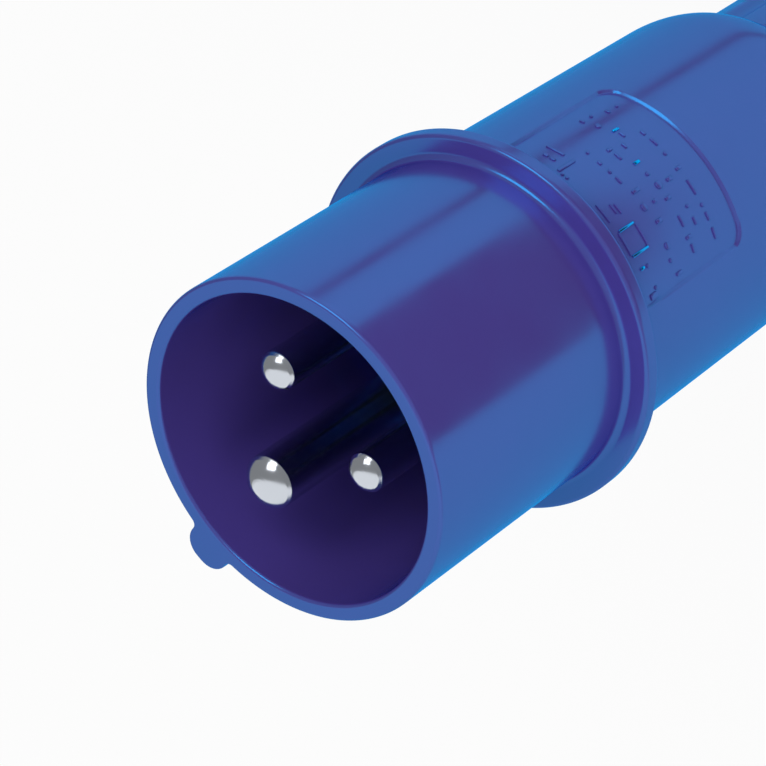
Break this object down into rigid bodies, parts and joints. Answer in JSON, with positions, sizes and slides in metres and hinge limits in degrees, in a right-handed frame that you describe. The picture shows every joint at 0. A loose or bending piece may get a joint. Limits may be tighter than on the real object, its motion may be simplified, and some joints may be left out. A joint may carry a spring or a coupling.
{
  "type": "industrial pin and sleeve plug",
  "caption": "Industrial pin and sleeve plug with a round shroud, three contact pins, a flange, a rear housing and a cable gland.",
  "frame": {"origin": "centre of the gland nut's flat end, which the plug stands on", "axes": "+Z along the plug's axis towards the mouth, +Y towards the key rib and the earth pin"},
  "size_m": [0.0504, 0.0507, 0.128],
  "materials": {
    "blue_polyamide": "moulded polyamide, smooth semi-gloss",
    "dark_insulator": "moulded glass-filled polyamide",
    "grey_insulator": "moulded polyamide",
    "pale_polyamide": "moulded polyamide, natural",
    "nickel_plate": "turned brass, nickel plated, bright",
    "screw_steel": "zinc-plated steel",
    "black_rubber": "moulded rubber"
  },
  "bodies": {
    "housing": {"front_shroud": "blue_polyamide", "body_seal": "black_rubber", "contact_carrier": "dark_insulator", "pin_live": "nickel_plate", "pin_neutral": "nickel_plate", "pin_earth": "nickel_plate", "terminal_screw_live": "screw_steel", "terminal_screw_neutral": "screw_steel", "terminal_screw_earth": "screw_steel", "pin_retainer": "grey_insulator", "retainer_screw_left": "screw_steel", "retainer_screw_right": "screw_steel", "rear_body": "blue_polyamide", "lock_screw": "screw_steel", "gland_seal": "black_rubber"},
    "ring": {"clamp_ring": "pale_polyamide"},
    "nut": {"gland_nut": "blue_polyamide"}
  },
  "joints": [
    {"name": "ring_slide", "type": "slide", "parent": "housing", "child": "ring", "axis": [0, 0, -1], "range_m": [0, 0.003]},
    {"name": "nut_turn", "type": "hinge", "parent": "ring", "child": "nut", "pos_m": [0, 0, 0.014], "axis": [0, 0, -1], "range_deg": [0, 540]}
  ],
  "couplings": [
    {"joint": "ring_slide", "follows": "nut_turn", "m_per_rad": 0.00031831}
  ]
}
